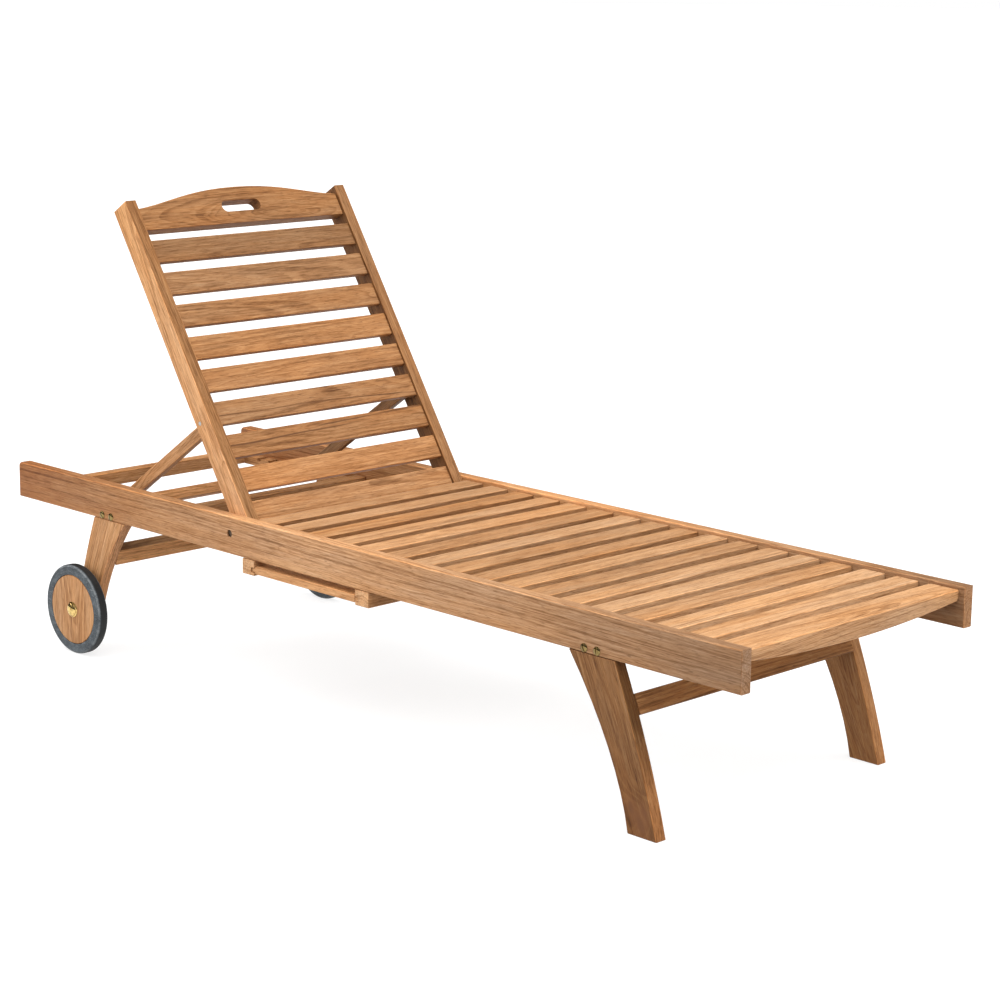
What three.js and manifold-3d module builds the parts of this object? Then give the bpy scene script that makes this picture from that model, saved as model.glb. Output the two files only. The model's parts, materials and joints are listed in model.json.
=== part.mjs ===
// Reclining wooden sun lounger on two wheels, in millimetres.
// +X runs from the head end to the foot end, +Z is up and Y = 0 is the middle of the bed.
// The origin is on the ground under the middle of the side rails.
import * as THREE from 'three';
import { mergeVertices } from 'three/addons/utils/BufferGeometryUtils.js';
import Module from 'manifold-3d';

const wasm = await Module();
wasm.setup();

// ---- driving dimensions ----
const GAP = 0.3;                 // left between pieces that touch
const EASE = 2;                  // rounding of the long edges
const BED_LENGTH = 2000;
const BED_WIDTH = 630;           // over the side rails
const RAIL_THICKNESS = 26;
const RAIL_BOTTOM = 292.5;
const RAIL_TOP = 367.5;
const RAIL_CORNER = 10;          // radius of the upper corner at the head end

const SLAT_WIDTH = 49;
const SLAT_THICKNESS = 14;
const TENON = 8;                 // how far a slat runs into its rail or stile
const SEAT_TOP = 360.5;
const SEAT_SLATS = 16;
const SEAT_PITCH = 73.7;
const FIRST_SEAT_SLAT = 770.3;   // middle of the slat nearest the backrest

const FOOT_BOARD_START = 1922.6;
const FOOT_BOARD_END = 1987;
const FOOT_BOARD_THICKNESS = 18;
const APRON_THICKNESS = 20;
const APRON_END_BOTTOM = 340;
const APRON_MIDDLE_BOTTOM = 324.5;

const PIVOT_X = 711;
const PIVOT_Z = 333.4;
const RECLINE = THREE.MathUtils.degToRad(57.26);
const STILE_LENGTH = 706.5;      // from the pivot to the square top end
const STILE_DEPTH = 46.6;
const STILE_THICKNESS = 26.5;
const STILE_FRONT = 35.5;        // front face, ahead of the pivot
const STILE_CLEARANCE = 1;       // between a stile and its side rail
const SLAT_SETBACK = 5.5;        // slats behind the stiles' front faces
const BACK_SLATS = 9;
const BACK_PITCH = 71.4;
const TOP_BACK_SLAT = 594;       // middle of the uppermost slat, from the pivot
const CREST_THICKNESS = 26;
const CREST_BOTTOM = 641.5;
const CREST_SHOULDER = 690;
const CREST_PEAK = 724;
const HAND_SLOT = { length: 100, height: 25, middle: 680.5 };

const PROP_PIVOT_S = 230.8;      // up the stile from the backrest pivot
const PROP_PIVOT_N = 3;          // ahead of the backrest pivot
const PROP_ANGLE = THREE.MathUtils.degToRad(34.85);
const PROP_BAR_Z = 309;
const PROP_DEPTH = 24.3;
const PROP_THICKNESS = 16;
const PROP_CLEARANCE = 1.5;      // between an arm and its stile
const BAR_THICKNESS = 16;
const BAR_END_RADIUS = 6;

const RACK_TOP = 310;
const RACK_THICKNESS = 25;
const NOTCH_RADIUS = 6.5;
const NOTCHES = [96, 136, 173, 219, 272.5];
const RAMP_BOTTOM = 302.4;       // the ramp by which the prop's bar leaves the last notch

const HEAD_RAIL = { start: 20, end: 46, top: 321.9 };
const MID_RAIL = { start: 398, end: 430, top: 318 };

const LEG_THICKNESS = 25;
const TONGUE_TOP = 335;
const TONGUE_OUTER = 13.3;       // depth of the tongue's outer face in the rail
const TONGUE_INNER = 24.2;
const STRETCHER = { depth: 37, thickness: 26 };
const BOLT_Z = 301;
const BOLT_HEAD_RADIUS = 8;
const BOLT_HEAD_HEIGHT = 3;
const BOLT_RADIUS = 3;

const AXLE_X = 233.5;
const AXLE_RADIUS = 6;
const WHEEL_RADIUS = 94;
const DISC_RADIUS = 72.5;
const WHEEL_WIDTH = 23.5;
const WHEEL_INNER = 11.5;        // from the rail's outer face out to the wheel
const CAP_RADIUS = 16.5;
const CAP_HEIGHT = 8;
const COLLAR_RADIUS = 10;        // the axle bolt's shoulder, between the leg and the wheel
const NUT = { radius: 10.5, height: 7 };

const RUNNER_HEIGHT = 30;
const RUNNERS = { head: [750, 786], foot: [1077, 1115] };
const TRAY_THICKNESS = 15;
const TRAY_TOP = 281;
const TRAY_DEPTH = 430;
const TRAY_TONGUE = 9;
const TRAY_TONGUE_HEIGHT = 8;
const TRAY_PLAY = 0.5;

const HALF_WIDTH = BED_WIDTH / 2;
const INNER = HALF_WIDTH - RAIL_THICKNESS;

// ---- materials ----
const wood = (color) => new THREE.MeshStandardMaterial({ color, roughness: 0.62, metalness: 0 });
const TEAK = { rail: 0xc48d5f, seat: 0xd8a577, back: 0xb8824f, leg: 0xa87048, shade: 0x99643c };
const brass = () => new THREE.MeshStandardMaterial({ color: 0xcaa45a, roughness: 0.25, metalness: 1 });
const steel = () => new THREE.MeshStandardMaterial({ color: 0x9a9a98, roughness: 0.35, metalness: 1 });
const rubber = () => new THREE.MeshStandardMaterial({ color: 0x3f4448, roughness: 0.8, metalness: 0 });

// ---- shape helpers ----
const point = (x, y) => new THREE.Vector2(x, y);

function arc(cx, cy, radius, from, to, steps = 8) {
  const points = [];
  for (let i = 0; i <= steps; i += 1) {
    const angle = THREE.MathUtils.degToRad(from + ((to - from) * i) / steps);
    points.push(point(cx + radius * Math.cos(angle), cy + radius * Math.sin(angle)));
  }
  return points;
}

const curve = (start, control, end, steps = 8) =>
  new THREE.QuadraticBezierCurve(start, control, end).getPoints(steps);

// Outline given in X and Z, as thick as asked in Y, about Y = 0.
const ALONG_Y = new THREE.Matrix4().makeBasis(
  new THREE.Vector3(1, 0, 0), new THREE.Vector3(0, 0, 1), new THREE.Vector3(0, -1, 0));
// Outline given in Y and Z, as thick as asked in X, about X = 0.
const ALONG_X = new THREE.Matrix4().makeBasis(
  new THREE.Vector3(0, 1, 0), new THREE.Vector3(0, 0, 1), new THREE.Vector3(1, 0, 0));

function board(outline, thickness, basis = ALONG_Y, ease = EASE, steps = 2) {
  const geometry = new THREE.ExtrudeGeometry(new THREE.Shape(outline), {
    depth: thickness - 2 * ease,
    bevelThickness: ease,
    bevelSize: ease,
    bevelOffset: -ease,
    bevelSegments: steps,
  });
  geometry.translate(0, 0, ease - thickness / 2);
  return geometry.applyMatrix4(basis);
}

// A plank along Y between two corners, its long edges rounded and its ends just broken.
function plank([x0, y0, z0], [x1, y1, z1], radius = EASE) {
  const outline = [
    ...arc(x1 - radius, z1 - radius, radius, 0, 90, 2),
    ...arc(x0 + radius, z1 - radius, radius, 90, 180, 2),
    ...arc(x0 + radius, z0 + radius, radius, 180, 270, 2),
    ...arc(x1 - radius, z0 + radius, radius, 270, 360, 2),
  ];
  return board(outline, y1 - y0, ALONG_Y, radius / 2, 1).translate(0, (y0 + y1) / 2, 0);
}

function block(low, high) {
  const size = high.map((value, i) => value - low[i]);
  const middle = high.map((value, i) => (value + low[i]) / 2);
  return new THREE.BoxGeometry(...size).translate(...middle);
}

// A round bar along Y.
const rod = (x, z, radius, y0, y1, segments = 24) =>
  new THREE.CylinderGeometry(radius, radius, y1 - y0, segments).translate(x, (y0 + y1) / 2, z);

// A lathe turned about Y from [radius, y] pairs.
const turned = (profile, segments = 32) =>
  new THREE.LatheGeometry(profile.map(([radius, y]) => point(radius, y)), segments);

// The same shape on the other side of the bed: Y changes sign, and so does the winding.
function mirrored(geometry) {
  const copy = geometry.clone().scale(1, -1, 1);
  const merged = mergeBare(copy);
  const order = merged.index.array;
  for (let i = 0; i < order.length; i += 3) {
    [order[i + 1], order[i + 2]] = [order[i + 2], order[i + 1]];
  }
  return merged;
}

function mergeBare(geometry) {
  const bare = geometry.clone();
  bare.deleteAttribute('normal');
  bare.deleteAttribute('uv');
  return mergeVertices(bare, 1e-4);
}

function solid(geometry) {
  const merged = mergeBare(geometry);
  return new wasm.Manifold(new wasm.Mesh({
    numProp: 3,
    vertProperties: new Float32Array(merged.attributes.position.array),
    triVerts: new Uint32Array(merged.index.array),
  }));
}

function combine(base, { add = [], cut = [] }) {
  let result = solid(base);
  for (const piece of add) result = result.add(solid(piece));
  for (const piece of cut) result = result.subtract(solid(piece));
  const mesh = result.getMesh();
  const geometry = new THREE.BufferGeometry();
  geometry.setAttribute('position', new THREE.BufferAttribute(new Float32Array(mesh.vertProperties), 3));
  geometry.setIndex(new THREE.BufferAttribute(new Uint32Array(mesh.triVerts), 1));
  return geometry;
}

function place(group, name, geometry, material) {
  if (!geometry.attributes.normal) geometry.computeVertexNormals();
  const mesh = new THREE.Mesh(geometry, material);
  mesh.name = name;
  group.add(mesh);
  return mesh;
}

// Makes the right-hand piece (-Y) and its mirror image.
function placePair(group, name, rightGeometry, makeMaterial) {
  place(group, `right_${name}`, rightGeometry, makeMaterial());
  place(group, `left_${name}`, mirrored(rightGeometry), makeMaterial());
}

const number = (i) => String(i + 1).padStart(2, '0');

// ---- the bed: its X is measured from the head end ----
const lounger = new THREE.Group();
const bed = new THREE.Group();
bed.position.x = -BED_LENGTH / 2;
lounger.add(bed);

const LEGS = {
  front: { tongue: [1640, 1712], bolts: [1657.5, 1687] },
  rear: { tongue: [285, 352], bolts: [296.7, 326] },
};
const seatSlatMiddle = (i) => FIRST_SEAT_SLAT + SEAT_PITCH * i;

function sideRail() {
  const outline = [
    point(0, RAIL_BOTTOM),
    point(BED_LENGTH, RAIL_BOTTOM),
    point(BED_LENGTH, RAIL_TOP),
    ...arc(RAIL_CORNER, RAIL_TOP - RAIL_CORNER, RAIL_CORNER, 90, 180, 6),
  ];
  const blank = board(outline, RAIL_THICKNESS, ALONG_Y, 3).translate(0, -HALF_WIDTH + RAIL_THICKNESS / 2, 0);
  const pocket = (x0, x1, z0, z1) =>
    block([x0 - GAP, -INNER - TENON - GAP, z0 - GAP], [x1 + GAP, -INNER + 5, z1 + GAP]);
  const cut = [];
  for (let i = 0; i < SEAT_SLATS; i += 1) {
    const x = seatSlatMiddle(i);
    cut.push(pocket(x - SLAT_WIDTH / 2, x + SLAT_WIDTH / 2, SEAT_TOP - SLAT_THICKNESS, SEAT_TOP));
  }
  cut.push(pocket(FOOT_BOARD_START, FOOT_BOARD_END, SEAT_TOP - FOOT_BOARD_THICKNESS, SEAT_TOP));
  for (const { tongue: [x0, x1], bolts } of Object.values(LEGS)) {
    cut.push(block([x0 - GAP, -HALF_WIDTH + TONGUE_OUTER - GAP, RAIL_BOTTOM - 5],
      [x1 + GAP, -INNER + 5, TONGUE_TOP + GAP]));
    for (const x of bolts) cut.push(rod(x, BOLT_Z, BOLT_RADIUS + GAP, -HALF_WIDTH - 5, -INNER, 16));
  }
  cut.push(rod(PIVOT_X, PIVOT_Z, 5 + GAP, -HALF_WIDTH - 5, -INNER + 5));
  cut.push(rod(PIVOT_X, PIVOT_Z, 7.5, -HALF_WIDTH - 5, -HALF_WIDTH + 8));
  return combine(blank, { cut });
}

function seatSlat(i) {
  const x = seatSlatMiddle(i);
  const reach = INNER + TENON;
  return plank([x - SLAT_WIDTH / 2, -reach, SEAT_TOP - SLAT_THICKNESS], [x + SLAT_WIDTH / 2, reach, SEAT_TOP]);
}

function footBoard() {
  const reach = INNER + TENON;
  const top = plank([FOOT_BOARD_START, -reach, SEAT_TOP - FOOT_BOARD_THICKNESS],
    [FOOT_BOARD_END, reach, SEAT_TOP], 3);
  const end = INNER - GAP;
  const sag = 2 * APRON_MIDDLE_BOTTOM - APRON_END_BOTTOM;
  const outline = [
    ...curve(point(-end, APRON_END_BOTTOM), point(0, sag), point(end, APRON_END_BOTTOM), 16),
    point(end, SEAT_TOP - 6),
    point(-end, SEAT_TOP - 6),
  ];
  const apron = board(outline, APRON_THICKNESS, ALONG_X, 3)
    .translate(FOOT_BOARD_END - APRON_THICKNESS / 2, 0, 0);
  return combine(top, { add: [apron] });
}

function crossRail({ start, end, top }) {
  return plank([start, -INNER + GAP, RAIL_BOTTOM], [end, INNER - GAP, top]);
}

function rack() {
  const outer = -INNER + GAP;
  const blank = block([HEAD_RAIL.end + GAP, outer, RAIL_BOTTOM],
    [MID_RAIL.start - GAP, outer + RACK_THICKNESS, RACK_TOP]);
  const cut = [];
  for (const x of NOTCHES) {
    cut.push(rod(x, PROP_BAR_Z, NOTCH_RADIUS, outer - 5, outer + RACK_THICKNESS + 5, 20));
    cut.push(block([x - NOTCH_RADIUS, outer - 5, PROP_BAR_Z],
      [x + NOTCH_RADIUS, outer + RACK_THICKNESS + 5, RACK_TOP + 5]));
  }
  const [rampTop, rampEnd] = NOTCHES.slice(-2);
  const above = RACK_TOP + 5;
  const ramp = [point(rampEnd, RAMP_BOTTOM), point(rampEnd, above), point(rampTop, above), point(rampTop, RACK_TOP)];
  cut.push(board(ramp, RACK_THICKNESS + 20, ALONG_Y, 0.01, 1).translate(0, outer + RACK_THICKNESS / 2, 0));
  return combine(blank, { cut });
}

// A leg is flush with the rail's outer face; its tongue is housed in the rail's inner half.
function leg(outline, { tongue: [x0, x1], bolts }, extraCuts) {
  const blank = board(outline, LEG_THICKNESS, ALONG_Y, 1.5).translate(0, -HALF_WIDTH + LEG_THICKNESS / 2, 0);
  const tongue = block([x0, -HALF_WIDTH + TONGUE_OUTER, RAIL_BOTTOM - 14],
    [x1, -HALF_WIDTH + TONGUE_INNER, TONGUE_TOP]);
  const holes = bolts.map((x) => rod(x, BOLT_Z, BOLT_RADIUS + GAP, -HALF_WIDTH, -INNER, 16));
  return combine(blank, { add: [tongue], cut: [...holes, ...extraCuts] });
}

function frontLeg() {
  const shoulder = RAIL_BOTTOM - GAP;
  const outline = [
    ...curve(point(1830, 0), point(1795.5, 134), point(1727, shoulder)),
    ...curve(point(1622, shoulder), point(1741, 130), point(1765, 0)),
  ];
  return leg(outline, LEGS.front, []);
}

function rearLeg() {
  const shoulder = RAIL_BOTTOM - GAP;
  const outline = [
    ...curve(point(262, 92), point(294, 200), point(370, shoulder)),
    ...curve(point(268, shoulder), point(226.5, 191), point(203, 87)),
    ...arc(232.5, 89.5, 29.7, 190, 350, 10),
  ];
  const axleHole = rod(AXLE_X, WHEEL_RADIUS, AXLE_RADIUS + GAP, -HALF_WIDTH - 5, -INNER + 5);
  return leg(outline, LEGS.rear, [axleHole]);
}

// Stretcher between two legs, its long side tilted by the angle that the legs lean at.
function stretcher(x, z, tilt) {
  const reach = HALF_WIDTH - LEG_THICKNESS - GAP;
  const geometry = plank([-STRETCHER.thickness / 2, -reach, -STRETCHER.depth / 2],
    [STRETCHER.thickness / 2, reach, STRETCHER.depth / 2]);
  return geometry.rotateY(THREE.MathUtils.degToRad(tilt)).translate(x, 0, z);
}

// Two slotted, domed bolts with one nut plate behind the leg's tongue.
function legBolts({ bolts }) {
  const face = -HALF_WIDTH - GAP;
  const plateInner = -INNER;
  const plateOuter = -HALF_WIDTH + TONGUE_INNER + GAP;
  const height = BOLT_HEAD_HEIGHT;
  const dome = [[0, 0], [BOLT_HEAD_RADIUS, 0], [BOLT_HEAD_RADIUS - 0.8, -height * 0.5],
    [BOLT_HEAD_RADIUS * 0.55, -height * 0.9], [0, -height]];
  const add = [];
  const cut = [];
  for (const x of bolts) {
    add.push(turned([...dome].reverse(), 24).translate(x, face, BOLT_Z));
    add.push(rod(x, BOLT_Z, BOLT_RADIUS, face - 1, plateInner - 0.5, 16));
    cut.push(block([x - 6, face - height - 1, BOLT_Z - 0.8], [x + 6, face - height + 1.1, BOLT_Z + 0.8]));
  }
  const plate = block([bolts[0] - 8, plateOuter, BOLT_Z - 7], [bolts[1] + 8, plateInner, BOLT_Z + 7]);
  return combine(plate, { add, cut });
}

placePair(bed, 'side_rail', sideRail(), () => wood(TEAK.rail));
for (let i = 0; i < SEAT_SLATS; i += 1) place(bed, `seat_slat_${number(i)}`, seatSlat(i), wood(TEAK.seat));
place(bed, 'foot_board', footBoard(), wood(TEAK.seat));
place(bed, 'head_cross_rail', crossRail(HEAD_RAIL), wood(TEAK.shade));
place(bed, 'mid_cross_rail', crossRail(MID_RAIL), wood(TEAK.shade));
placePair(bed, 'notched_rack', rack(), () => wood(TEAK.shade));
placePair(bed, 'front_leg', frontLeg(), () => wood(TEAK.leg));
placePair(bed, 'rear_leg', rearLeg(), () => wood(TEAK.rail));
placePair(bed, 'front_leg_bolts', legBolts(LEGS.front), brass);
placePair(bed, 'rear_leg_bolts', legBolts(LEGS.rear), brass);
place(bed, 'front_stretcher', stretcher(1746.7, 214.1, -24.5), wood(TEAK.shade));
place(bed, 'rear_stretcher', stretcher(299.5, 212.8, 21.8), wood(TEAK.shade));

// ---- backrest pivot bolts, held in the rails ----
const pivotBolt = combine(rod(PIVOT_X, PIVOT_Z, 5, -HALF_WIDTH + 3, -INNER + STILE_THICKNESS), {
  add: [rod(PIVOT_X, PIVOT_Z, 7, -HALF_WIDTH + 3, -HALF_WIDTH + 7.5)],
});
placePair(bed, 'backrest_pivot_bolt', pivotBolt, steel);

// ---- wheels ----
const wheelInner = HALF_WIDTH + WHEEL_INNER;
const wheelOuter = wheelInner + WHEEL_WIDTH;

// Domed cap about Y, its flat back at y = 0 and its dome toward -Y.
function capGeometry() {
  const profile = [[0, -CAP_HEIGHT]];
  for (const angle of [72, 52, 34, 16]) {
    const a = THREE.MathUtils.degToRad(angle);
    profile.push([CAP_RADIUS * Math.cos(a), -1 - (CAP_HEIGHT - 1) * Math.sin(a)]);
  }
  profile.push([CAP_RADIUS, -1], [CAP_RADIUS, 0], [0, 0]);
  return turned(profile, 32);
}

// Each wheel turns on its own bolt through the rear leg, with a nut inside.
function axleBolt() {
  const legInner = -HALF_WIDTH + LEG_THICKNESS + GAP;
  const shaft = rod(0, 0, AXLE_RADIUS, -wheelOuter - GAP - 1, legInner + NUT.height + 3, 32);
  const head = capGeometry().translate(0, -wheelOuter - GAP, 0);
  const shoulder = rod(0, 0, COLLAR_RADIUS, -wheelInner + GAP, -HALF_WIDTH - GAP, 32);
  const nut = rod(0, 0, NUT.radius, legInner, legInner + NUT.height, 6);
  return combine(shaft, { add: [head, shoulder, nut] }).translate(AXLE_X, 0, WHEEL_RADIUS);
}

function wheelDisc() {
  const half = WHEEL_WIDTH / 2;
  const bore = AXLE_RADIUS + 0.4;
  return turned([
    [bore, -half], [DISC_RADIUS - 1.5, -half], [DISC_RADIUS, 1.5 - half],
    [DISC_RADIUS, half - 1.5], [DISC_RADIUS - 1.5, half], [bore, half], [bore, -half],
  ], 48);
}

function tyre() {
  const half = WHEEL_WIDTH / 2;
  const inner = DISC_RADIUS + GAP;
  const shoulder = 7;
  const profile = [[inner, -half]];
  for (const p of arc(WHEEL_RADIUS - shoulder, shoulder - half, shoulder, -90, 0, 4)) profile.push([p.x, p.y]);
  for (const p of arc(WHEEL_RADIUS - shoulder, half - shoulder, shoulder, 0, 90, 4)) profile.push([p.x, p.y]);
  profile.push([inner, half], [inner, -half]);
  return turned(profile, 48);
}

placePair(bed, 'axle_bolt', axleBolt(), brass);
for (const [name, y] of [['right', -wheelInner - WHEEL_WIDTH / 2], ['left', wheelInner + WHEEL_WIDTH / 2]]) {
  const wheel = new THREE.Group();
  wheel.position.set(AXLE_X, y, WHEEL_RADIUS);
  bed.add(wheel);
  place(wheel, `${name}_wheel_disc`, wheelDisc(), wood(TEAK.rail));
  place(wheel, `${name}_tyre`, tyre(), rubber());
}

// ---- tray and its runners ----
const tongueTop = TRAY_TOP - (TRAY_THICKNESS - TRAY_TONGUE_HEIGHT) / 2;
const tongueBottom = tongueTop - TRAY_TONGUE_HEIGHT;

function runner([x0, x1], grooveSide) {
  const top = RAIL_BOTTOM - GAP;
  const blank = plank([x0, -HALF_WIDTH, top - RUNNER_HEIGHT], [x1, HALF_WIDTH, top], 1.5);
  const depth = TRAY_TONGUE + TRAY_PLAY;
  const [g0, g1] = grooveSide > 0 ? [x1 - depth, x1 + 5] : [x0 - 5, x0 + depth];
  const groove = block([g0, -HALF_WIDTH - 5, tongueBottom - TRAY_PLAY],
    [g1, HALF_WIDTH + 5, tongueTop + TRAY_PLAY]);
  return combine(blank, { cut: [groove] });
}

function tray() {
  const x0 = RUNNERS.head[1] + 1;
  const x1 = RUNNERS.foot[0] - 1;
  const y0 = -HALF_WIDTH + 1;
  const y1 = y0 + TRAY_DEPTH;
  const bottom = TRAY_TOP - TRAY_THICKNESS;
  const blank = plank([x0, y0, bottom], [x1, y1, TRAY_TOP], 1.5);
  const tongues = block([x0 - TRAY_TONGUE, y0 + 1, tongueBottom], [x1 + TRAY_TONGUE, y1 - 1, tongueTop]);
  const border = 28;
  const recess = block([x0 + border, y0 + border, TRAY_TOP - 4], [x1 - border, y1 - border, TRAY_TOP + 5]);
  return combine(blank, { add: [tongues], cut: [recess] });
}

place(bed, 'head_tray_runner', runner(RUNNERS.head, 1), wood(TEAK.rail));
place(bed, 'foot_tray_runner', runner(RUNNERS.foot, -1), wood(TEAK.rail));
place(bed, 'side_tray', tray(), wood(TEAK.seat));

// ---- backrest: its -X runs up the stiles from the pivot, and +Z is out of its front ----
const backrest = new THREE.Group();
backrest.position.set(PIVOT_X, 0, PIVOT_Z);
backrest.rotation.y = RECLINE;
bed.add(backrest);

const stileBack = STILE_FRONT - STILE_DEPTH;
const stileOuter = INNER - STILE_CLEARANCE;
const stileInner = stileOuter - STILE_THICKNESS;
const slatFront = STILE_FRONT - SLAT_SETBACK;
const backSlatMiddle = (i) => TOP_BACK_SLAT - BACK_PITCH * i;

function stile() {
  const middle = (STILE_FRONT + stileBack) / 2;
  const outline = [
    point(-STILE_LENGTH, STILE_FRONT),
    point(-STILE_LENGTH, stileBack),
    ...arc(0, middle, STILE_DEPTH / 2, -90, 90, 12),
  ];
  const blank = board(outline, STILE_THICKNESS).translate(0, -stileOuter + STILE_THICKNESS / 2, 0);
  const cut = [
    rod(0, 0, 5 + GAP, -stileOuter - 5, -stileInner + 5),
    rod(-PROP_PIVOT_S, PROP_PIVOT_N, 4 + GAP, -stileOuter - 5, -stileInner + 5),
  ];
  for (let i = 0; i < BACK_SLATS; i += 1) {
    const s = backSlatMiddle(i);
    cut.push(block([-s - SLAT_WIDTH / 2 - GAP, -stileInner - TENON - GAP, slatFront - SLAT_THICKNESS - GAP],
      [-s + SLAT_WIDTH / 2 + GAP, -stileInner + 5, slatFront + GAP]));
  }
  return combine(blank, { cut });
}

function backSlat(i) {
  const s = backSlatMiddle(i);
  const reach = stileInner + TENON;
  return plank([-s - SLAT_WIDTH / 2, -reach, slatFront - SLAT_THICKNESS], [-s + SLAT_WIDTH / 2, reach, slatFront]);
}

// The crest rail is drawn in Y and the height up the backrest, then laid along -X.
function crestRail() {
  const end = stileInner - GAP;
  const rise = new THREE.CubicBezierCurve(point(-end, CREST_SHOULDER), point(-180, CREST_SHOULDER + 8),
    point(-125, CREST_PEAK), point(0, CREST_PEAK)).getPoints(10);
  const fall = rise.slice(0, -1).reverse().map((p) => point(-p.x, p.y));
  const outline = [point(end, CREST_BOTTOM), ...[...rise, ...fall].reverse(), point(-end, CREST_BOTTOM)];
  const half = HAND_SLOT.height / 2;
  const straight = HAND_SLOT.length / 2 - half;
  const slot = [
    ...arc(straight, HAND_SLOT.middle, half, -90, 90, 10),
    ...arc(-straight, HAND_SLOT.middle, half, 90, 270, 10),
  ];
  const toStiles = new THREE.Matrix4().makeBasis(
    new THREE.Vector3(0, 1, 0), new THREE.Vector3(-1, 0, 0), new THREE.Vector3(0, 0, 1));
  const blank = board(outline, CREST_THICKNESS, toStiles);
  const cutter = board(slot, CREST_THICKNESS + 20, toStiles, 0.01);
  return combine(blank, { cut: [cutter] }).translate(0, 0, slatFront - CREST_THICKNESS / 2);
}

placePair(backrest, 'back_stile', stile(), () => wood(TEAK.rail));
for (let i = 0; i < BACK_SLATS; i += 1) place(backrest, `back_slat_${number(i)}`, backSlat(i), wood(TEAK.back));
place(backrest, 'crest_rail', crestRail(), wood(TEAK.back));
place(backrest, 'prop_pivot_rod',
  rod(-PROP_PIVOT_S, PROP_PIVOT_N, 4, -stileOuter, stileOuter), steel());

// ---- prop frame: its -X runs down the arms from their pivot on the stiles ----
const pivotHeight = PIVOT_Z + PROP_PIVOT_S * Math.sin(RECLINE) + PROP_PIVOT_N * Math.cos(RECLINE);
const armLength = (pivotHeight - PROP_BAR_Z) / Math.sin(PROP_ANGLE);
const armOuter = stileInner - PROP_CLEARANCE;
const armInner = armOuter - PROP_THICKNESS;
const prop = new THREE.Group();
prop.position.set(-PROP_PIVOT_S, 0, PROP_PIVOT_N);
prop.rotation.y = -PROP_ANGLE - RECLINE;
backrest.add(prop);

function propArm() {
  const radius = PROP_DEPTH / 2;
  const outline = [...arc(0, 0, radius, -90, 90, 8), ...arc(-armLength, 0, radius, 90, 270, 8)];
  const blank = board(outline, PROP_THICKNESS, ALONG_Y, 1.5).translate(0, -armOuter + PROP_THICKNESS / 2, 0);
  return combine(blank, {
    cut: [
      rod(0, 0, 4 + GAP, -armOuter - 5, -armInner + 5),
      rod(-armLength, 0, BAR_END_RADIUS + GAP, -armOuter - 5, -armInner + 5),
    ],
  });
}

function propBar() {
  const reach = armInner - GAP;
  const bar = plank([-armLength - BAR_THICKNESS / 2, -reach, -PROP_DEPTH / 2],
    [-armLength + BAR_THICKNESS / 2, reach, PROP_DEPTH / 2], 1.5);
  const ends = rod(-armLength, 0, BAR_END_RADIUS, -INNER + 2, INNER - 2);
  return combine(bar, { add: [ends] });
}

placePair(prop, 'prop_arm', propArm(), () => wood(TEAK.back));
place(prop, 'prop_bar', propBar(), wood(TEAK.back));

export default lounger;
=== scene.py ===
"""A reclining sun lounger in oiled teak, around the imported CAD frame. Units are metres."""

import json
import math
import random

import bmesh
import bpy
from mathutils import Matrix, Vector

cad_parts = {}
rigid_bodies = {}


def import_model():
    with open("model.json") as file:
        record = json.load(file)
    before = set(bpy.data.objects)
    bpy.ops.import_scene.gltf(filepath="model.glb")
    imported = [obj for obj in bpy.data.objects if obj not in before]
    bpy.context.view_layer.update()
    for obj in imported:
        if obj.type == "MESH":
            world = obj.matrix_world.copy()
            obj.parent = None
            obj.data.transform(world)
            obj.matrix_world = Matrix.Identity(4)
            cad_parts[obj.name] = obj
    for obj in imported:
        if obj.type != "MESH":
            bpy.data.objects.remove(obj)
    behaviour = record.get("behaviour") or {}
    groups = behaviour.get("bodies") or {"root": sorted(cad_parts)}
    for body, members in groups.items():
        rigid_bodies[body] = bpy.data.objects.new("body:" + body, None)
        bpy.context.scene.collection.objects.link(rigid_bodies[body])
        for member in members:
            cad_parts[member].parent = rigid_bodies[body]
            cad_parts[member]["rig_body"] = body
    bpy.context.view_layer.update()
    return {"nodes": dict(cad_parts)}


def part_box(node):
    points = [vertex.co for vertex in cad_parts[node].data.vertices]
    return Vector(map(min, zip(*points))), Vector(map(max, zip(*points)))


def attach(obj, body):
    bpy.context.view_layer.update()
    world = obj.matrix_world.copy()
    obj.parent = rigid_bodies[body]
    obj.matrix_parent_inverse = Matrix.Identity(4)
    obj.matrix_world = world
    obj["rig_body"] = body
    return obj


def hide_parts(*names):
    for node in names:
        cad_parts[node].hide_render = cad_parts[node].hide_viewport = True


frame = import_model()
nodes = frame["nodes"]

X, Y, Z = Vector((1, 0, 0)), Vector((0, 1, 0)), Vector((0, 0, 1))


def slanted(degrees):
    """A direction in the plane of X and Z, that many degrees above +X."""
    return Vector((math.cos(math.radians(degrees)), 0, math.sin(math.radians(degrees))))


# ---------------------------------------------------------------- materials


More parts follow.
